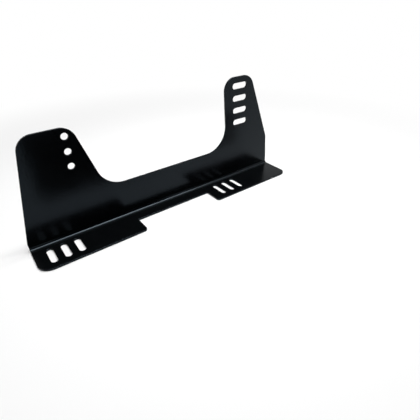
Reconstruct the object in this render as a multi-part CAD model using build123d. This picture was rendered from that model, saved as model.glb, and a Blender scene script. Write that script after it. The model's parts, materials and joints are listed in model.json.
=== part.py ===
from build123d import *
import math
import os

# Side mount for a vehicle seat: one steel sheet, cut to outline and folded once along its foot.
# Sizes in millimetres. X runs from the front end to the rear end, Y from the flange's free edge
# to the outer face of the upright plate, Z up from the underside of the flange.
# The origin is at the middle of the footprint, on the underside.

# Sheet and fold
sheet_thickness = 3.0
bend_inner_radius = 4.0
edge_break = 0.4
base_length = 444.3

# Upright plate, low strip between the two towers; its ends stand square above the fold
strip_height = 58.5
front_foot_rise = 5.3
rear_foot_rise = 1.4
foot_radius = 12.0
shoulder_setback = 3.9
shoulder_radius = 6.0

# Front tower: its front edge leans back, its rear edge runs down into the strip
front_tower_height = 155.2
front_tower_top_length = 63.2
front_edge_lean = 12.15
front_back_edge_lean = 16.5
front_tower_front_radius = 22.5
front_tower_back_radius = 19.5
front_dip_radius = 38.0

# Rear tower: narrower and taller
rear_tower_height = 174.8
rear_tower_top_length = 56.3
rear_tower_setback = 49.0
rear_tower_front_lean = 2.7
rear_tower_front_radius = 20.5
rear_tower_back_radius = 22.0
rear_dip_radius = 38.5

# Round holes in the front tower, in one column that leans back
front_hole_radius = 4.6
front_hole_count = 3
front_hole_pitch = 20.0
front_hole_lean = 2.4
front_hole_below_top = 11.6
front_hole_from_end = 84.6

# Level slots in the rear tower, in one column along the tower's front edge
tower_slot_length = 30.0
tower_slot_width = 9.6
tower_slot_count = 4
tower_slot_pitch = 20.0
tower_slot_below_top = 14.6
tower_slot_from_edge = 31.9

# Flange: a wide pad at each end and a narrow waist between them
flange_width = 59.5
waist_width = 27.9
front_pad_length = 150.9
rear_pad_length = 162.5
front_pad_radius = 17.4
rear_pad_radius = 13.2
notch_outer_radius = 5.4
notch_inner_radius = 1.0

# Slots across the flange, one group of them in each pad
base_slot_length = 33.0
base_slot_width = 9.0
base_slot_count = 3
base_slot_pitch = 18.75
base_slot_from_outer_face = 31.9
front_slot_from_end = 21.4
rear_slot_from_end = 101.7

# Worked-out places, measured from the front end, the outer face and the underside
bend_outer_radius = bend_inner_radius + sheet_thickness
front_foot_height = bend_outer_radius + front_foot_rise
rear_foot_height = bend_outer_radius + rear_foot_rise
plate_plane = Plane.XZ.offset(-flange_width / 2)
front_end = -base_length / 2
rear_end = base_length / 2
outer_face = flange_width / 2


def run(height, lean):
    """Sideways run of a straight edge that leans by this many degrees over a height."""
    return height * math.tan(math.radians(lean))


def column(top_x, top_z, count, pitch, lean):
    """Centres of a column of holes from the top one down; its top leans back by the lean."""
    step_x = pitch * math.sin(math.radians(lean))
    step_z = pitch * math.cos(math.radians(lean))
    return [(top_x - i * step_x, top_z - i * step_z) for i in range(count)]


def plate_outline():
    """Outline of the upright plate above the fold, as corners with a radius each."""
    front_top = front_end + run(front_tower_height - front_foot_height, front_edge_lean)
    front_back = front_top + front_tower_top_length
    front_dip = front_back + run(front_tower_height - strip_height, front_back_edge_lean)
    rear_back = rear_end - rear_tower_setback
    rear_top = rear_back - rear_tower_top_length
    rear_dip = rear_top + run(rear_tower_height - strip_height, rear_tower_front_lean)
    corners = [
        ((front_end, bend_outer_radius), 0),
        ((rear_end, bend_outer_radius), 0),
        ((rear_end, rear_foot_height), foot_radius),
        ((rear_end - shoulder_setback, strip_height), shoulder_radius),
        ((rear_back, rear_tower_height), rear_tower_back_radius),
        ((rear_top, rear_tower_height), rear_tower_front_radius),
        ((rear_dip, strip_height), rear_dip_radius),
        ((front_dip, strip_height), front_dip_radius),
        ((front_back, front_tower_height), front_tower_back_radius),
        ((front_top, front_tower_height), front_tower_front_radius),
        ((front_end, front_foot_height), foot_radius),
    ]
    return closed_face(corners)


def flange_outline():
    """Outline of the flange beyond the fold: two wide pads joined by the waist."""
    bend_line = outer_face - bend_outer_radius
    free_edge = outer_face - flange_width
    waist_edge = outer_face - waist_width
    front_pad_end = front_end + front_pad_length
    rear_pad_end = rear_end - rear_pad_length
    corners = [
        ((front_end, bend_line), 0),
        ((front_end, free_edge), front_pad_radius),
        ((front_pad_end, free_edge), notch_outer_radius),
        ((front_pad_end, waist_edge), notch_inner_radius),
        ((rear_pad_end, waist_edge), notch_inner_radius),
        ((rear_pad_end, free_edge), notch_outer_radius),
        ((rear_end, free_edge), rear_pad_radius),
        ((rear_end, bend_line), 0),
    ]
    return closed_face(corners)


def closed_face(corners):
    """Face inside a closed run of straight edges whose corners are rounded."""
    points = [point for point, radius in corners]
    radii = [radius for point, radius in corners]
    return make_face(FilletPolyline(*points, radius=radii, close=True).edges())


def bend():
    """Quarter ring of the fold, carried along the whole base."""
    centre = (outer_face - bend_outer_radius, bend_outer_radius)
    ring = Circle(bend_outer_radius) - Circle(bend_inner_radius)
    quarter = Rectangle(bend_outer_radius, bend_outer_radius, align=(Align.MIN, Align.MAX))
    section = Plane.YZ.offset(front_end) * Pos(*centre) * (ring & quarter)
    return extrude(section, base_length)


def folded_sheet():
    """Plate, fold and flange as one solid of even thickness."""
    plate = extrude(plate_plane * plate_outline(), sheet_thickness)
    flange = extrude(flange_outline(), sheet_thickness)
    return plate + bend() + flange


def is_outline(edge):
    """True for an edge along the cut outline, not across the sheet or along the fold."""
    across_sheet = abs(edge.length - sheet_thickness) < 1e-3
    along_fold = abs(edge.length - base_length) < 1e-3
    return not across_sheet and not along_fold


def front_holes():
    """Round bolt holes through the front tower."""
    top_x = front_end + front_hole_from_end
    top_z = front_tower_height - front_hole_below_top
    centres = column(top_x, top_z, front_hole_count, front_hole_pitch, front_hole_lean)
    return cutter(plate_plane, centres, Circle(front_hole_radius))


def tower_slots():
    """Level slots through the rear tower, in a column along the tower's front edge."""
    top_x = rear_end - rear_tower_setback - rear_tower_top_length + tower_slot_from_edge
    top_x += run(tower_slot_below_top, rear_tower_front_lean)
    top_z = rear_tower_height - tower_slot_below_top
    centres = column(top_x, top_z, tower_slot_count, tower_slot_pitch, -rear_tower_front_lean)
    return cutter(plate_plane, centres, SlotOverall(tower_slot_length, tower_slot_width))


def base_slots():
    """Slots across the flange, one group in each pad."""
    group_length = (base_slot_count - 1) * base_slot_pitch
    y = outer_face - base_slot_from_outer_face
    starts = [front_end + front_slot_from_end, rear_end - rear_slot_from_end - group_length]
    centres = [(x + i * base_slot_pitch, y) for x in starts for i in range(base_slot_count)]
    slot = SlotOverall(base_slot_length, base_slot_width, rotation=90)
    return cutter(Plane.XY, centres, slot)


def cutter(plane, centres, opening):
    """One opening at each centre on a face of the sheet, carried through its thickness."""
    openings = Sketch() + [plane * Pos(*centre) * opening for centre in centres]
    return extrude(openings, sheet_thickness)


sheet = folded_sheet()
sheet = chamfer(sheet.edges().filter_by(is_outline), edge_break)
sheet -= front_holes() + tower_slots() + base_slots()
print(f"side_mount: {sheet.volume / 1000:.1f} cm3 of sheet, {len(sheet.faces())} faces")

os.makedirs("parts", exist_ok=True)
export_step(sheet, "parts/side_mount.step")
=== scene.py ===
import json
import math

import bpy
import numpy as np
from bpy.props import FloatProperty, FloatVectorProperty, IntProperty, PointerProperty
from mathutils import Matrix, Vector
from mathutils.geometry import delaunay_2d_cdt


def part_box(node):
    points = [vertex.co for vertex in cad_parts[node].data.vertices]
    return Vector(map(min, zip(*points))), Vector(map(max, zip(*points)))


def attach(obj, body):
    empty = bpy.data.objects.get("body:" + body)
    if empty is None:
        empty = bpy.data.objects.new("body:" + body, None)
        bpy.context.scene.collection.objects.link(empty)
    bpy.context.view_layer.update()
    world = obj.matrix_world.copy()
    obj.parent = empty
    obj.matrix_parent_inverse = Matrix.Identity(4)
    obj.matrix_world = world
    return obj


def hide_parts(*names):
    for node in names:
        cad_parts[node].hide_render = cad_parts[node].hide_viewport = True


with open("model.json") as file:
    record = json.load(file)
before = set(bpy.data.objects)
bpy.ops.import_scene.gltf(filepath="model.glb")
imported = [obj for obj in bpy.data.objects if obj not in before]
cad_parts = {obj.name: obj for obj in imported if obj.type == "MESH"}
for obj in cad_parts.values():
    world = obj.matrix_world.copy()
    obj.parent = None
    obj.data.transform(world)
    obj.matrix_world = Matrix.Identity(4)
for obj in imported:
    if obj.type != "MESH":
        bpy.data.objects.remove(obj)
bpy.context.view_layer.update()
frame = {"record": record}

# The part is one steel sheet, cut to outline, folded once along its foot and powder coated.
# It is built from its flat blank: a point of the blank has a place x along the part and a place
# s across it, and the fold carries both skins and the rounded cut edges to their place in space.
# Lengths are metres. X runs from the front end to the rear end, Y from the flange's free edge to
# the plate's outer face, Z up from the flange's underside.

bl_info = {
    "name": "Side Mount",
    "version": (1, 0, 0),
    "blender": (4, 5, 0),
    "location": "3D Viewport > Sidebar > Side Mount",
    "description": "Builds a folded sheet side mount with its powder coat and a plain studio",
    "category": "Add Mesh",
}

MM = 0.001
NODE = "side_mount"
LOW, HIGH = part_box(NODE)
MOUNTS = frame["record"]["mounts"]
# Places and directions that differ by less than this are the same.
TINY = 1e-7


def linear(hex_colour):
    """Linear RGBA of an sRGB hex colour: a twelfth of a dark value, a 2.4 power of a light one."""
    srgb = np.array([int(hex_colour[i:i + 2], 16) for i in (1, 3, 5)]) / 255
    value = np.where(srgb <= 0.04045, srgb / 12.92, ((srgb + 0.055) / 1.055) ** 2.4)
    return (*value.tolist(), 1.0)


def length(name, description, millimetres):
    """Length property with its default given in millimetres."""
    return FloatProperty(name=name, description=description, default=millimetres * MM, min=0.0,
                         precision=5, unit="LENGTH", subtype="DISTANCE")


def angle(name, description, degrees):
    """Angle property with its default given in degrees."""
    return FloatProperty(name=name, description=description, default=math.radians(degrees),
                         unit="ROTATION", subtype="ANGLE")


def factor(name, description, default):
    """Property of a surface that runs from 0 to 1."""
    return FloatProperty(name=name, description=description, default=default, min=0.0, max=1.0,
                         subtype="FACTOR")


def position(name, description, metres):
    """Place in space, with its default in metres."""
    return FloatVectorProperty(name=name, description=description, default=metres,
                               unit="LENGTH", subtype="TRANSLATION")


def wattage(name, description, watts):
    """Power of a lamp, with its default in watts."""
    return FloatProperty(name=name, description=description, default=watts, min=0.0,
                         unit="POWER")


def colour(name, description, hex_colour):
    """Colour property with its default given as an sRGB hex value."""
    return FloatVectorProperty(name=name, description=description, default=linear(hex_colour),
                               size=4, min=0.0, max=1.0, subtype="COLOR")


class SheetSizes(bpy.types.PropertyGroup):
    """Sheet and fold. The outside sizes come from the packed part."""
    base_length: length("Length", "From the front end to the rear end", (HIGH.x - LOW.x) / MM)
    flange_width: length("Flange width", "Free edge to outer face", (HIGH.y - LOW.y) / MM)
    thickness: length("Thickness", "Thickness of the sheet", 3.0)
    bend_inner_radius: length("Bend radius", "Radius on the inside of the fold", 4.0)
    edge_radius: length("Edge radius", "Rounding of the coated cut edges", 0.4)
    fold_steps: IntProperty(name="Fold steps", description="Facets round the fold", default=24,
                            min=4)
    arc_step: angle("Arc step", "Turn from one point of a rounded corner to the next", 4.0)
    edge_steps: IntProperty(name="Edge steps", description="Facets round each cut edge",
                            default=4, min=1)


class PlateSizes(bpy.types.PropertyGroup):
    """Outline of the upright plate. Heights are above the underside."""
    strip_height: length("Strip height", "Low strip between the towers", 58.5)
    front_foot_rise: length("Front foot", "Square stretch above the fold, front end", 5.3)
    rear_foot_rise: length("Rear foot", "Square stretch above the fold, rear end", 1.4)
    foot_radius: length("Foot radius", "Rounding where the ends start to lean", 12.0)
    shoulder_setback: length("Shoulder setback", "Strip's rear end from the rear end", 3.9)
    shoulder_radius: length("Shoulder radius", "Rounding under the rear tower", 6.0)
    front_tower_top: length("Front tower top", "Length of the front tower's top", 63.2)
    front_tower_height: length("Front tower height", "Height of the front tower", 155.2)
    front_edge_lean: angle("Front edge lean", "Lean of the front edge", 12.15)
    front_back_edge_lean: angle("Back edge lean", "Lean of the front tower's rear edge", 16.5)
    front_tower_front_radius: length("Front tower, front", "Corner radius", 22.5)
    front_tower_back_radius: length("Front tower, back", "Corner radius", 19.5)
    front_dip_radius: length("Front dip", "Radius where the front tower meets the strip", 38.0)
    rear_tower_top: length("Rear tower top", "Length of the rear tower's top", 56.3)
    rear_tower_setback: length("Rear tower setback", "Rear tower's top from the rear end", 49.0)
    rear_tower_front_lean: angle("Rear tower lean", "Lean of the rear tower's front edge", 2.7)
    rear_tower_front_radius: length("Rear tower, front", "Corner radius", 20.5)
    rear_tower_back_radius: length("Rear tower, back", "Corner radius", 22.0)
    rear_dip_radius: length("Rear dip", "Radius where the rear tower meets the strip", 38.5)


class FlangeSizes(bpy.types.PropertyGroup):
    """Outline of the flange. It has a wide pad at each end and a narrow waist between them."""
    waist_width: length("Waist width", "Outer face to the notch", 27.9)
    front_pad_length: length("Front pad", "Length of the front pad", 150.9)
    rear_pad_length: length("Rear pad", "Length of the rear pad", 162.5)
    front_pad_radius: length("Front pad corner", "Corner radius", 17.4)
    rear_pad_radius: length("Rear pad corner", "Corner radius", 13.2)
    notch_outer_radius: length("Notch, outer", "Radius at the free edge", 5.4)
    notch_inner_radius: length("Notch, inner", "Radius inside the notch", 1.0)


class OpeningSizes(bpy.types.PropertyGroup):
    """Holes and slots. Their places come from the packed part's mounts."""
    front_hole_radius: length("Round hole", "Radius of the round holes", 4.6)
    tower_slot_length: length("Tower slot length", "Overall length", 30.0)
    tower_slot_width: length("Tower slot width", "Width", 9.6)
    base_slot_length: length("Base slot length", "Overall length", 33.0)
    base_slot_width: length("Base slot width", "Width", 9.0)


class CoatLook(bpy.types.PropertyGroup):
    """Satin black polyester powder coat."""
    paint: colour("Paint", "Colour of the coat", "#030405")
    paint_thin: colour("Thin paint", "Colour where the film is thinner", "#060708")
    tint: colour("Reflection tint", "Cool tint of the reflections", "#cee7fa")
    roughness: factor("Roughness", "Roughness of the satin film", 0.21)
    roughness_change: factor("Roughness change", "Most that a patch differs from that", 0.02)
    patch_size: length("Film patches", "Distance between thinner patches of the film", 30.0)
    refractive_index: FloatProperty(name="Refractive index", description="Of the polyester film",
                                    default=1.5, min=1.0)
    specular: factor("Specular level", "Strength of the reflections", 0.2)
    peel_size: length("Orange peel", "Distance between the waves of the film", 3.0)
    # Real waves are about a hundredth of a millimetre high: these are higher, so that they show.
    peel_depth: length("Orange peel depth", "Height of the waves of the film", 0.05)
    fold_roughness: factor("Fold roughness", "Roughness added along the inside of the fold", 0.2)
    fold_reach: length("Fold reach", "How far the rougher film reaches from the fold", 6.0)
    # Real lines are about 0.2 mm apart: these are coarser, so that they show.
    cut_pitch: length("Cut lines", "Distance between the beam's lines on a cut edge", 0.9)
    cut_length: length("Cut line length", "How far a line keeps its course across the sheet", 7.5)
    cut_depth: length("Cut line depth", "Height of those lines under the coat", 0.012)


class StudioLook(bpy.types.PropertyGroup):
    """Plain studio. It has a pale floor, white surroundings, lamps, and cards that only gloss
    shows, which paint dark reflections and shade into the part's gloss.
    """
    floor: colour("Floor", "Colour of the floor", "#f4f4f4")
    background: colour("Background", "Colour of the surroundings", "#ffffff")
    ceiling: colour("Ceiling", "Colour of the room above the white sweep", "#404040")
    sweep_start: angle("Sweep start", "Height above level where the white sweep starts to fade",
                       15.0)
    sweep_top: angle("Sweep top", "Height above level where the white sweep has faded out", 40.0)
    fill: FloatProperty(name="Fill", description="Strength of the soft light from all round",
                        default=0.25, min=0.0)
    lamp_power: wattage("Lamp power", "Power of the soft lamp", 14.0)
    lamp_length: length("Lamp length", "Length of the soft lamp, along X", 800.0)
    lamp_width: length("Lamp width", "Width of the soft lamp, along Y", 250.0)
    lamp_place: position("Lamp place", "Middle of the soft lamp", (0.15, 0.0, 1.1))
    strip_power: wattage("Strip power", "Power of the highlight strip", 26.0)
    strip_tone: colour("Strip colour", "Warm white of the highlight strip", "#fff9f3")
    strip_length: length("Strip length", "Length of the highlight strip, along X", 830.0)
    strip_width: length("Strip width", "Width of the highlight strip, along Y", 100.0)
    strip_place: position("Strip place", "Middle of the strip", (0.165, 0.0, 1.1))
    rear_power: wattage("Rear panel power", "Power of the rear panel", 3.0)
    rear_length: length("Rear panel length", "Length of the rear panel, along X", 900.0)
    rear_width: length("Rear panel width", "Width of the rear panel, along Y", 300.0)
    rear_place: position("Rear panel place", "Middle of the panel", (0.95, 0.0, 1.1))
    # The dark and the grey card are painted reflections: only gloss shows them, and they darken
    # the towers as a second bracket beside the part would.
    dark_length: length("Dark card length", "Length of the dark card, along X", 220.0)
    dark_height: length("Dark card height", "Height of the dark card", 130.0)
    dark_place: position("Dark card place", "Its foot's front end", (-0.178, -0.1, 0.0))
    painted_dark_reflection: colour("Dark card colour", "Black felt of the dark card", "#050505")
    grey_length: length("Grey card length", "Length of the grey card, along X", 130.0)
    grey_height: length("Grey card height", "Height of the grey card", 70.0)
    grey_place: position("Grey card place", "Its foot's front end", (0.12, -0.1, 0.0))
    grey_paper: colour("Grey card colour", "Grey paper of the grey card", "#a0a0a0")
    # The slot cards are painted shade: only gloss shows them, and they dim the floor that the
    # plate reflects through the slots.
    slot_card_margin: length("Slot card margin", "Reach of the cards past the slots", 4.0)
    slot_card_gap: length("Slot card gap", "Depth of the cards under the part", 0.02)
    slot_painted_shade: colour("Slot card colour", "Grey paper under the slots", "#949494")
    floor_gap: length("Floor gap", "Depth of the floor under the part", 0.05)
    floor_core: length("Floor core", "Radius of the floor's middle face", 100.0)
    floor_reach: length("Floor reach", "Radius of the floor", 20000.0)
    pool_radius: length("Pool radius", "Where the floor starts to fade to the background", 280.0)
    pool_edge: length("Pool edge", "Where the floor has faded to the background", 840.0)
    camera_place: position("Camera place", "Where the camera stands", (-0.2253, -0.40018, 0.29169))
    camera_heading: angle("Heading", "Turn of the view from +X towards +Y", 53.57)
    camera_pitch: angle("Pitch", "Slope of the view below level", 34.95)
    camera_roll: angle("Roll", "Turn of the picture about the view", 1.2)
    sensor_width: FloatProperty(name="Sensor width", description="Width in millimetres",
                                default=36.0, min=1.0, unit="CAMERA")
    focal_length: FloatProperty(name="Focal length", description="Length in millimetres",
                                default=28.21, min=1.0, unit="CAMERA")
    camera_shift: FloatVectorProperty(name="Shift", description="Shift as shares of the width",
                                      default=(-0.0079, 0.0196), size=2)


class Fold:
    """Carries the flat blank to the folded sheet.

    The blank's s is 0 where the fold starts at the flange, negative towards the free edge and
    positive up the plate. Its n is the height above the middle of the sheet, towards the inside
    of the fold. With a the part of s inside the fold and q the turn a / middle radius, a point
    is centre + (middle radius - n) (sin q, -cos q) + (s - a) (cos q, sin q) in Y and Z.
    """

    def __init__(self, sizes):
        self.outer_radius = sizes.bend_inner_radius + sizes.thickness
        self.middle_radius = sizes.bend_inner_radius + sizes.thickness / 2
        self.length = self.middle_radius * math.pi / 2
        self.centre = np.array([HIGH.y - self.outer_radius, LOW.z + self.outer_radius])

    def plate(self, x, z):
        """Blank place of a point of the plate."""
        return np.stack([x, self.length + z - self.centre[1]], -1)

    def flange(self, x, y):
        """Blank place of a point of the flange."""
        return np.stack([x, y - self.centre[0]], -1)

    def turn(self, s):
        """Turn of the sheet at s, from 0 on the flange to a right angle on the plate."""
        return np.clip(s, 0, self.length) / self.middle_radius

    def points(self, blank, n):
        """Places in space of blank points at height n, by the class's formula."""
        q = self.turn(blank[..., 1])
        beyond = blank[..., 1] - q * self.middle_radius
        radius = self.middle_radius - n
        y = self.centre[0] + radius * np.sin(q) + beyond * np.cos(q)
        z = self.centre[1] - radius * np.cos(q) + beyond * np.sin(q)
        return np.stack([blank[..., 0], y, z], -1)

    def directions(self, blank, sideways, up):
        """Unit directions in space: sideways in the blank's plane, and up across the sheet."""
        q = self.turn(blank[..., 1])
        along_y = sideways[..., 1] * np.cos(q) - up * np.sin(q)
        along_z = sideways[..., 1] * np.sin(q) + up * np.cos(q)
        return np.stack([sideways[..., 0], along_y, along_z], -1)


def right_of(heading):
    """Unit vector to the right of each heading."""
    return np.stack([np.sin(heading), -np.cos(heading)], -1)


def rounded(corners, radii, step):
    """Points and outward normals of a closed outline whose corners are rounded.

    The outline turns left round the material. A corner of radius r and turn f starts
    r tan(f / 2) before the corner, and its points are centre + sign(f) r normal(direction),
    for directions in even steps; the normal of (cos a, sin a) is (sin a, -cos a).
    """
    ahead = np.roll(corners, -1, 0) - corners
    heading = np.arctan2(ahead[:, 1], ahead[:, 0])
    before = np.roll(heading, 1)
    turn = (heading - before + math.pi) % (2 * math.pi) - math.pi
    tangent = radii * np.tan(np.abs(turn) / 2)
    points, normals = [], []
    for corner, radius, start, bend, back in zip(corners, radii, before, turn, tangent):
        count = max(2, math.ceil(abs(bend) / step) + 1) if radius > 0 else 1
        share = np.linspace(0, 1, count) if radius > 0 else np.array([0.5])
        normal = right_of(start + share * bend)
        first = corner - back * np.array([math.cos(start), math.sin(start)])
        centre = first - math.copysign(radius, bend) * right_of(np.array([start]))[0]
        points.append(centre + math.copysign(radius, bend) * normal)
        normals.append(normal)
    points, normals = np.concatenate(points), np.concatenate(normals)
    apart = np.linalg.norm(points - np.roll(points, 1, 0), axis=1) > TINY
    return points[apart], normals[apart]


def blank_outline(fold, sheet, plate, flange):
    """Outline of the whole blank, with points where the fold's facets meet its two ends."""
    front, rear = LOW.x, LOW.x + sheet.base_length
    free_edge = HIGH.y - sheet.flange_width
    waist = HIGH.y - flange.waist_width
    front_pad, rear_pad = front + flange.front_pad_length, rear - flange.rear_pad_length
    front_foot = fold.outer_radius + plate.front_foot_rise
    front_rise = plate.front_tower_height - front_foot
    front_top = front + front_rise * math.tan(plate.front_edge_lean)
    front_back = front_top + plate.front_tower_top
    front_drop = plate.front_tower_height - plate.strip_height
    front_dip = front_back + front_drop * math.tan(plate.front_back_edge_lean)
    rear_back = rear - plate.rear_tower_setback
    rear_top = rear_back - plate.rear_tower_top
    rear_drop = HIGH.z - plate.strip_height
    rear_dip = rear_top + rear_drop * math.tan(plate.rear_tower_front_lean)
    rear_foot = fold.outer_radius + plate.rear_foot_rise
    low = [
        (front, free_edge, flange.front_pad_radius),
        (front_pad, free_edge, flange.notch_outer_radius),
        (front_pad, waist, flange.notch_inner_radius),
        (rear_pad, waist, flange.notch_inner_radius),
        (rear_pad, free_edge, flange.notch_outer_radius),
        (rear, free_edge, flange.rear_pad_radius),
    ]
    high = [
        (rear, rear_foot, plate.foot_radius),
        (rear - plate.shoulder_setback, plate.strip_height, plate.shoulder_radius),
        (rear_back, HIGH.z, plate.rear_tower_back_radius),
        (rear_top, HIGH.z, plate.rear_tower_front_radius),
        (rear_dip, plate.strip_height, plate.rear_dip_radius),
        (front_dip, plate.strip_height, plate.front_dip_radius),
        (front_back, plate.front_tower_height, plate.front_tower_back_radius),
        (front_top, plate.front_tower_height, plate.front_tower_front_radius),
        (front, front_foot, plate.foot_radius),
    ]
    low, high = np.array(low), np.array(high)
    across = np.linspace(0, fold.length, sheet.fold_steps + 1)
    rear_fold = np.stack([np.full_like(across, rear), across], -1)
    front_fold = np.stack([np.full_like(across, front), across[::-1]], -1)
    corners = [fold.flange(low[:, 0], low[:, 1]), rear_fold, fold.plate(high[:, 0], high[:, 1]),
               front_fold]
    square = np.zeros(len(across))
    radii = [low[:, 2], square, high[:, 2], square]
    return rounded(np.concatenate(corners), np.concatenate(radii), sheet.arc_step)


def opening_outline(centre, along_x, along_s, step):
    """Outline of a hole or slot, turning right round it: a box whose ends are half circles."""
    box = np.array([(-1, -1), (-1, 1), (1, 1), (1, -1)]) * (along_x / 2, along_s / 2)
    radii = np.full(4, min(along_x, along_s) / 2)
    return rounded(centre + box, radii, step)


def mount_places(prefix):
    """Places of the packed part's mounts whose names start with a prefix, one in each row."""
    return np.array([mount["pos_m"] for mount in MOUNTS if mount["name"].startswith(prefix)])


def openings(fold, sheet, sizes):
    """Outlines of all the round holes and slots."""
    holes = mount_places("front_hole_")
    towers = mount_places("rear_slot_")
    bases = np.concatenate([mount_places("front_base_slot_"), mount_places("rear_base_slot_")])
    across = 2 * sizes.front_hole_radius
    groups = [
        (fold.plate(holes[:, 0], holes[:, 2]), across, across),
        (fold.plate(towers[:, 0], towers[:, 2]), sizes.tower_slot_length, sizes.tower_slot_width),
        (fold.flange(bases[:, 0], bases[:, 1]), sizes.base_slot_width, sizes.base_slot_length),
    ]
    return [opening_outline(centre, along_x, along_s, sheet.arc_step)
            for centres, along_x, along_s in groups for centre in centres]


def edge_profile(sheet):
    """Angle across the cut edge and height of its centre, for each line of the rounded rim.

    The rim turns a quarter from the upper skin to the side, then a quarter to the lower skin.
    """
    quarter = np.linspace(0, math.pi / 2, sheet.edge_steps + 1)
    height = sheet.thickness / 2 - sheet.edge_radius
    angles = np.concatenate([quarter, quarter + math.pi / 2])
    heights = np.repeat([height, -height], len(quarter))
    return angles, heights


def rim_rows(fold, sheet, blank, outward):
    """Blank places, heights and normals of the rounded rim, one row for each of its lines.

    A rim point is its outline point, moved outwards by edge radius (sin a - 1), at the height
    of the rim's centre plus edge radius cos a. Its normal is the same mix of outwards and up.
    """
    angles, heights = edge_profile(sheet)
    inset = sheet.edge_radius * (np.sin(angles) - 1)
    places = blank[None] + inset[:, None, None] * outward[None]
    n = np.repeat((heights + sheet.edge_radius * np.cos(angles))[:, None], len(blank), 1)
    sideways = np.sin(angles)[:, None, None] * outward[None]
    up = np.repeat(np.cos(angles)[:, None], len(blank), 1)
    return places, n, fold.directions(places, sideways, up)


def facet_ends(fold, blank, outward):
    """Pairs of outline points, at the two ends of the fold, that a facet's edge joins."""
    s = blank[:, 1]
    on_end = np.abs(outward[:, 1]) < TINY
    ends = np.flatnonzero(on_end & (s > -TINY) & (s < fold.length + TINY))
    rear, front = ends[blank[ends, 0] > 0], ends[blank[ends, 0] < 0]
    return np.stack([rear, front[::-1]], -1)


def skin_triangles(follows, flat, facets):
    """Triangles between the outlines of the flat blank, with edges along the fold's facets.

    A triangle is kept where a level line from its middle crosses the outlines an odd number
    of times.
    """
    around = np.stack([np.arange(len(flat)), follows], -1)
    edges = np.concatenate([around, facets])
    fill_all, merge_within = 0, 1e-9
    _, _, faces, origins, _, _ = delaunay_2d_cdt(
        [Vector(place) for place in flat.tolist()], edges.tolist(), [], fill_all, merge_within)
    source = np.array([origin[0] for origin in origins])
    triangles = source[np.array(faces)]
    middle = flat[triangles].mean(1)[:, None]
    start, end = flat[around[:, 0]][None], flat[around[:, 1]][None]
    crosses = (start[..., 1] > middle[..., 1]) != (end[..., 1] > middle[..., 1])
    rise = np.where(crosses, end[..., 1] - start[..., 1], 1.0)
    run = (middle[..., 1] - start[..., 1]) * (end[..., 0] - start[..., 0]) / rise
    beyond = start[..., 0] + run > middle[..., 0]
    inside = (crosses & beyond).sum(1) % 2 == 1
    return triangles[inside]


def row_quads(row_count, follows):
    """Quads between neighbouring rows of points, where each point has the next one in its row."""
    count = len(follows)
    here = np.arange(count)
    row = np.arange(row_count - 1)[:, None] * count
    below = row + count
    quads = np.stack([row + here, below + here, below + follows, row + follows], -1)
    return quads.reshape(-1, 4)


def rim_uv(rings, blank, follows, n):
    """Place along the outline and height n, for each corner of the rim's quads."""
    step = np.linalg.norm(blank[follows] - blank, axis=1)
    along = np.concatenate([np.cumsum(step[ring]) - step[ring] for ring in rings])
    start, end = np.tile(along, len(n) - 1), np.tile(along + step, len(n) - 1)
    upper, lower = n[:-1].ravel(), n[1:].ravel()
    return np.stack([np.stack([start, start, end, end], -1),
                     np.stack([upper, lower, lower, upper], -1)], -1).reshape(-1, 2)


def sheet_mesh(fold, sheet, outlines):
    """Mesh of the folded sheet: two skins, and a rounded rim along each outline.

    Its map holds the blank's own place on a skin, and the place along and across it on a rim.
    """
    blank = np.concatenate([points for points, _ in outlines])
    outward = np.concatenate([normals for _, normals in outlines])
    starts = np.cumsum([0] + [len(points) for points, _ in outlines])
    rings = [np.arange(first, last) for first, last in zip(starts[:-1], starts[1:])]
    follows = np.concatenate([np.roll(ring, -1) for ring in rings])
    places, n, normals = rim_rows(fold, sheet, blank, outward)
    points = fold.points(places, n)

    triangles = skin_triangles(follows, places[0], facet_ends(fold, blank, outward))
    lower_skin = triangles[:, ::-1] + (len(places) - 1) * len(blank)
    skins = np.concatenate([triangles, lower_skin])
    quads = row_quads(len(places), follows)
    skin_uv = places.reshape(-1, 2)[skins.ravel()]

    mesh = bpy.data.meshes.new("folded_sheet")
    mesh.from_pydata(points.reshape(-1, 3).tolist(), [], skins.tolist() + quads.tolist())
    mesh.shade_smooth()
    uv = np.concatenate([skin_uv, rim_uv(rings, blank, follows, n)])
    mesh.uv_layers.new(name="blank").data.foreach_set("uv", uv.ravel())
    rest = len(lower_skin) + len(quads)
    shares = {"inner_skin": np.repeat([1.0, 0.0], [len(triangles), rest]),
              "cut_edge": np.repeat([0.0, 1.0], [len(skins), len(quads)])}
    for name, share in shares.items():
        mesh.attributes.new(name, "FLOAT", "FACE").data.foreach_set("value", share)
    mesh.normals_split_custom_set_from_vertices(normals.reshape(-1, 3).tolist())
    return mesh


def add_node(tree, kind, settings, inputs):
    """Adds a node, sets its own settings and fills its inputs with values or other outputs."""
    node = tree.nodes.new(kind)
    for name, value in settings.items():
        setattr(node, name, value)
    for socket, value in inputs.items():
        if isinstance(value, bpy.types.NodeSocket):
            tree.links.new(value, node.inputs[socket])
        else:
            node.inputs[socket].default_value = value
    return node


def bare_tree(owner):
    """Empty node tree of a new material or world."""
    owner.use_nodes = True
    owner.node_tree.nodes.clear()
    return owner.node_tree


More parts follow.
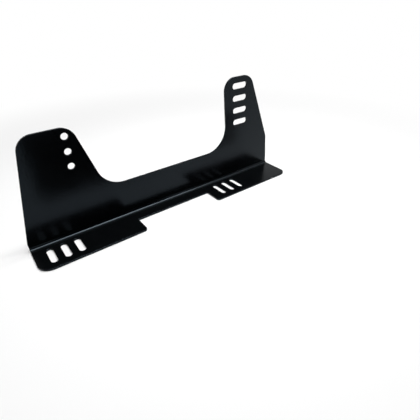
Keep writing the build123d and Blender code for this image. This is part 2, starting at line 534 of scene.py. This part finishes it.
def film_waves(tree, look, place, blank):
    """Normal of the film: orange peel all over, and the beam's lines on the cut edges."""
    peel = add_node(tree, "ShaderNodeTexNoise", {},
                    {"Vector": place, "Scale": 1 / look.peel_size, "Detail": 0.5})
    waves = add_node(tree, "ShaderNodeBump", {},
                     {"Height": peel.outputs["Fac"], "Distance": look.peel_depth})
    # Cut lines run across the sheet, so they repeat along the rim's own first coordinate.
    stretch = add_node(tree, "ShaderNodeMapping", {},
                       {"Vector": blank, "Scale": (1 / look.cut_pitch, 1 / look.cut_length, 1.0)})
    lines = add_node(tree, "ShaderNodeTexNoise", {"noise_dimensions": "2D"},
                     {"Vector": stretch.outputs["Vector"], "Scale": 1.0, "Detail": 1.0})
    cut = add_node(tree, "ShaderNodeAttribute", {"attribute_name": "cut_edge"}, {})
    marks = add_node(tree, "ShaderNodeMath", {"operation": "MULTIPLY"},
                     {0: lines.outputs["Fac"], 1: cut.outputs["Fac"]})
    bump = add_node(tree, "ShaderNodeBump", {},
                    {"Height": marks.outputs["Value"], "Distance": look.cut_depth,
                     "Normal": waves.outputs["Normal"]})
    return bump.outputs["Normal"]


def film_roughness(tree, look, film, blank):
    """Roughness of the film, slightly uneven from patch to patch and more inside the fold.

    Little powder reaches the inside of the fold, so the film is drier and rougher there, most
    of all where the fold starts at the flange: the blank's second coordinate is 0 there.
    """
    # The film's noise hardly leaves the stretch from 0.3 to 0.7.
    satin = add_node(tree, "ShaderNodeMapRange", {},
                     {"Value": film, "From Min": 0.3, "From Max": 0.7,
                      "To Min": look.roughness - look.roughness_change,
                      "To Max": look.roughness + look.roughness_change})
    across = add_node(tree, "ShaderNodeSeparateXYZ", {}, {"Vector": blank}).outputs["Y"]
    away = add_node(tree, "ShaderNodeMath", {"operation": "ABSOLUTE"}, {0: across})
    dry = add_node(tree, "ShaderNodeMapRange", {"interpolation_type": "SMOOTHSTEP"},
                   {"Value": away.outputs["Value"], "From Min": 0.0, "From Max": look.fold_reach,
                    "To Min": look.fold_roughness, "To Max": 0.0})
    inner = add_node(tree, "ShaderNodeAttribute", {"attribute_name": "inner_skin"}, {})
    rough = add_node(tree, "ShaderNodeMath", {"operation": "MULTIPLY_ADD"},
                     {0: dry.outputs["Result"], 1: inner.outputs["Fac"],
                      2: satin.outputs["Result"]})
    return rough.outputs["Value"]


def powder_coat(look):
    """Satin black polyester powder coat, sprayed dry and baked to a film over laser-cut steel.

    The film flows out but not flat, so its reflections are soft and slightly wavy: this is the
    orange peel. Along the fold they are softer, because the film is thin and dry there. On a cut
    edge the beam's lines still show faintly through the film.
    """
    material = bpy.data.materials.new("satin_powder_coat")
    tree = bare_tree(material)
    place = add_node(tree, "ShaderNodeTexCoord", {}, {}).outputs["Object"]
    blank = add_node(tree, "ShaderNodeUVMap", {"uv_map": "blank"}, {}).outputs["UV"]
    film = add_node(tree, "ShaderNodeTexNoise", {},
                    {"Vector": place, "Scale": 1 / look.patch_size, "Detail": 3.0}).outputs["Fac"]
    paint = add_node(tree, "ShaderNodeMix", {"data_type": "RGBA"},
                     {"Factor": film, "A": look.paint, "B": look.paint_thin})
    shader = add_node(tree, "ShaderNodeBsdfPrincipled", {},
                      {"Base Color": paint.outputs["Result"],
                       "Roughness": film_roughness(tree, look, film, blank),
                       "Normal": film_waves(tree, look, place, blank),
                       "IOR": look.refractive_index, "Specular IOR Level": look.specular,
                       "Specular Tint": look.tint})
    add_node(tree, "ShaderNodeOutputMaterial", {}, {"Surface": shader.outputs["BSDF"]})
    return material


def show_object(name, data):
    """Adds an object at the origin for a mesh, lamp or camera."""
    thing = bpy.data.objects.new(name, data)
    bpy.context.scene.collection.objects.link(thing)
    return thing


def seen_as_background(tree):
    """1 for rays from the camera, a reflection or a clear material, and 0 for light on things."""
    ray = add_node(tree, "ShaderNodeLightPath", {}, {}).outputs
    first = add_node(tree, "ShaderNodeMath", {"operation": "ADD"},
                     {0: ray["Is Camera Ray"], 1: ray["Is Glossy Ray"]})
    return add_node(tree, "ShaderNodeMath", {"operation": "ADD", "use_clamp": True},
                    {0: first.outputs["Value"], 1: ray["Is Transmission Ray"]}).outputs["Value"]


def surroundings(look):
    """White background, the room as gloss shows it, and an even fill as they light things.

    The room is white up to where the sweep starts to fade, and the colour of its ceiling from
    the sweep's top. The sine of the height above level is the Z of the direction.
    """
    world = bpy.data.worlds.new("studio")
    tree = bare_tree(world)
    towards = add_node(tree, "ShaderNodeTexCoord", {}, {}).outputs["Generated"]
    rise = add_node(tree, "ShaderNodeSeparateXYZ", {}, {"Vector": towards}).outputs["Z"]
    fade = add_node(tree, "ShaderNodeMapRange", {"interpolation_type": "SMOOTHSTEP"},
                    {"Value": rise, "From Min": math.sin(look.sweep_start),
                     "From Max": math.sin(look.sweep_top)})
    room = add_node(tree, "ShaderNodeMix", {"data_type": "RGBA"},
                    {"Factor": fade.outputs["Result"], "A": look.background,
                     "B": look.ceiling})
    straight = add_node(tree, "ShaderNodeLightPath", {}, {}).outputs["Is Camera Ray"]
    view = add_node(tree, "ShaderNodeMix", {"data_type": "RGBA"},
                    {"Factor": straight, "A": room.outputs["Result"], "B": look.background})
    fill = add_node(tree, "ShaderNodeBackground", {},
                    {"Color": look.background, "Strength": look.fill})
    seen = add_node(tree, "ShaderNodeBackground", {},
                    {"Color": view.outputs["Result"], "Strength": 1.0})
    mix = add_node(tree, "ShaderNodeMixShader", {},
                   {0: seen_as_background(tree), 1: fill.outputs["Background"],
                    2: seen.outputs["Background"]})
    add_node(tree, "ShaderNodeOutputWorld", {}, {"Surface": mix.outputs["Shader"]})
    return world


def floor_paper(look):
    """Matt white paper that fades to the background away from the part."""
    material = bpy.data.materials.new("studio_paper")
    tree = bare_tree(material)
    place = add_node(tree, "ShaderNodeTexCoord", {}, {}).outputs["Object"]
    away = add_node(tree, "ShaderNodeVectorMath", {"operation": "LENGTH"}, {0: place})
    fade = add_node(tree, "ShaderNodeMapRange", {"interpolation_type": "SMOOTHSTEP"},
                    {"Value": away.outputs["Value"], "From Min": look.pool_radius,
                     "From Max": look.pool_edge})
    share = add_node(tree, "ShaderNodeMath", {"operation": "MULTIPLY"},
                     {0: fade.outputs["Result"], 1: seen_as_background(tree)})
    paper = add_node(tree, "ShaderNodeBsdfDiffuse", {}, {"Color": look.floor})
    bright = add_node(tree, "ShaderNodeEmission", {},
                      {"Color": look.background, "Strength": 1.0})
    mix = add_node(tree, "ShaderNodeMixShader", {},
                   {0: share.outputs["Value"], 1: paper.outputs["BSDF"],
                    2: bright.outputs["Emission"]})
    add_node(tree, "ShaderNodeOutputMaterial", {}, {"Surface": mix.outputs["Shader"]})
    return material


def floor_mesh(look):
    """Disc just under the part: rings whose radius grows by an even factor."""
    ring_count, spoke_count = 24, 64
    radii = np.geomspace(look.floor_core, look.floor_reach, ring_count)
    turns = np.linspace(0, 2 * math.pi, spoke_count, endpoint=False)
    x = radii[:, None] * np.cos(turns)
    y = radii[:, None] * np.sin(turns)
    z = np.full_like(x, LOW.z - look.floor_gap)
    points = np.stack([x, y, z], -1).reshape(-1, 3)
    core = np.arange(spoke_count)
    quads = row_quads(ring_count, np.roll(core, -1))
    mesh = bpy.data.meshes.new("floor")
    mesh.from_pydata(points.tolist(), [], [core.tolist()] + quads.tolist())
    return mesh


def matt_card(finish, tone):
    """Matt felt or paper, which gives back an even light with no gloss."""
    material = bpy.data.materials.new(finish)
    tree = bare_tree(material)
    matt = add_node(tree, "ShaderNodeBsdfDiffuse", {}, {"Color": tone})
    add_node(tree, "ShaderNodeOutputMaterial", {}, {"Surface": matt.outputs["BSDF"]})
    return material


def gloss_card(name, corner, sides, finish, tone):
    """Rectangular card that only gloss shows: its corner, plus a share of each of its sides."""
    share = np.array([(0, 0), (1, 0), (1, 1), (0, 1)])
    mesh = bpy.data.meshes.new(name)
    mesh.from_pydata((np.array(corner) + share @ np.array(sides)).tolist(), [], [(0, 1, 2, 3)])
    mesh.materials.append(matt_card(finish, tone))
    card = show_object(name, mesh)
    card.visible_camera = False
    card.visible_diffuse = False
    card.visible_transmission = False
    card.visible_shadow = False


def cards(look, slots):
    """Cards that darken the gloss.

    A black one and a grey one stand in front of the towers and paint dark reflections into them,
    as a second bracket beside the part would give. One lies under each group of base slots and
    paints shade into the slots' reflections in the plate; it reaches past them by the margin.
    """
    # Painted reflections: dark cards in front of the towers darken their gloss.
    sides = [(look.dark_length, 0.0, 0.0), (0.0, 0.0, look.dark_height)]
    gloss_card("dark_card", look.dark_place, sides, "black_felt", look.painted_dark_reflection)
    sides = [(look.grey_length, 0.0, 0.0), (0.0, 0.0, look.grey_height)]
    gloss_card("grey_card", look.grey_place, sides, "grey_paper", look.grey_paper)
    # Painted shade: a grey card under each group of slots dims their reflections in the plate.
    reach = np.array([slots.base_slot_width, slots.base_slot_length]) / 2 + look.slot_card_margin
    for end in ("front", "rear"):
        places = mount_places(f"{end}_base_slot_")[:, :2]
        low, high = places.min(0) - reach, places.max(0) + reach
        sides = [(high[0] - low[0], 0.0, 0.0), (0.0, high[1] - low[1], 0.0)]
        corner = (*low, LOW.z - look.slot_card_gap)
        gloss_card(f"{end}_slot_card", corner, sides, "grey_paper", look.slot_painted_shade)


def area_lamp(name, place, size, power):
    """Rectangular lamp over the part, level with the floor and out of the camera's sight."""
    data = bpy.data.lights.new(name, "AREA")
    data.shape = "RECTANGLE"
    data.size, data.size_y = size
    data.energy = power
    lamp = show_object(name, data)
    lamp.location = place
    lamp.visible_camera = False
    return lamp


def lamps(look):
    """A soft lamp overhead, and two lamps that only gloss shows, most of all along the fold.

    One is a bright strip in the soft lamp, the other a dim panel beyond its rear end.
    """
    size = (look.lamp_length, look.lamp_width)
    area_lamp("overhead_softbox", look.lamp_place, size, look.lamp_power)
    size = (look.strip_length, look.strip_width)
    strip = area_lamp("highlight_strip", look.strip_place, size, look.strip_power)
    strip.data.color = look.strip_tone[:3]
    strip.visible_diffuse = False
    size = (look.rear_length, look.rear_width)
    panel = area_lamp("rear_panel", look.rear_place, size, look.rear_power)
    panel.visible_diffuse = False


def camera(look):
    """Camera at the photograph's place: heading and pitch give its view, roll turns it."""
    sin, cos = math.sin, math.cos
    heading, pitch, roll = look.camera_heading, look.camera_pitch, look.camera_roll
    view = Vector((cos(heading) * cos(pitch), sin(heading) * cos(pitch), -sin(pitch)))
    level = Vector((sin(heading), -cos(heading), 0.0))
    down = view.cross(level)
    right = level * cos(roll) + down * sin(roll)
    up = level * sin(roll) - down * cos(roll)
    data = bpy.data.cameras.new("camera")
    data.sensor_width = look.sensor_width
    data.lens = look.focal_length
    data.shift_x, data.shift_y = look.camera_shift
    data.clip_start = 0.01
    data.clip_end = 100.0
    thing = show_object("camera", data)
    turn = Matrix((right, up, -view)).transposed().to_4x4()
    thing.matrix_world = Matrix.Translation(look.camera_place) @ turn
    bpy.context.scene.camera = thing


class SIDE_MOUNT_OT_sheet(bpy.types.Operator):
    """Build the folded sheet with its holes, slots and powder coat"""
    bl_idname = "side_mount.sheet"
    bl_label = "Folded Sheet"

    def execute(self, context):
        scene = context.scene
        sheet = scene.side_mount_sheet
        fold = Fold(sheet)
        outlines = [blank_outline(fold, sheet, scene.side_mount_plate, scene.side_mount_flange)]
        outlines += openings(fold, sheet, scene.side_mount_openings)
        piece = show_object("folded_sheet", sheet_mesh(fold, sheet, outlines))
        piece.data.materials.append(powder_coat(scene.side_mount_coat))
        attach(piece, "root")
        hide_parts(NODE)
        return {"FINISHED"}


class SIDE_MOUNT_OT_stage(bpy.types.Operator):
    """Build the floor, the surroundings, the lamps, the cards and the camera"""
    bl_idname = "side_mount.stage"
    bl_label = "Stage"

    def execute(self, context):
        scene = context.scene
        look = scene.side_mount_studio
        floor = show_object("floor", floor_mesh(look))
        floor.data.materials.append(floor_paper(look))
        cards(look, scene.side_mount_openings)
        scene.world = surroundings(look)
        lamps(look)
        camera(look)
        scene.view_settings.view_transform = "Standard"
        return {"FINISHED"}


class SIDE_MOUNT_PT_panel(bpy.types.Panel):
    """Buttons and sizes of the side mount"""
    bl_label = "Side Mount"
    bl_space_type = "VIEW_3D"
    bl_region_type = "UI"
    bl_category = "Side Mount"

    def draw(self, context):
        layout = self.layout
        layout.operator(SIDE_MOUNT_OT_sheet.bl_idname)
        layout.operator(SIDE_MOUNT_OT_stage.bl_idname)
        for name, group in GROUPS.items():
            box = layout.box()
            box.label(text=group.__doc__.split(".")[0])
            for entry in group.__annotations__:
                box.prop(getattr(context.scene, name), entry)


GROUPS = {
    "side_mount_sheet": SheetSizes,
    "side_mount_plate": PlateSizes,
    "side_mount_flange": FlangeSizes,
    "side_mount_openings": OpeningSizes,
    "side_mount_coat": CoatLook,
    "side_mount_studio": StudioLook,
}
CLASSES = [*GROUPS.values(), SIDE_MOUNT_OT_sheet, SIDE_MOUNT_OT_stage, SIDE_MOUNT_PT_panel]


def register():
    """Registers the classes and gives the scene each group of properties."""
    for cls in CLASSES:
        bpy.utils.register_class(cls)
    for name, group in GROUPS.items():
        setattr(bpy.types.Scene, name, PointerProperty(type=group))


def unregister():
    """Takes the groups and the classes out again."""
    for name in GROUPS:
        delattr(bpy.types.Scene, name)
    for cls in reversed(CLASSES):
        bpy.utils.unregister_class(cls)


def main():
    """Builds the piece and the stage."""
    register()
    bpy.ops.side_mount.sheet()
    bpy.ops.side_mount.stage()


if __name__ == "__main__":
    main()
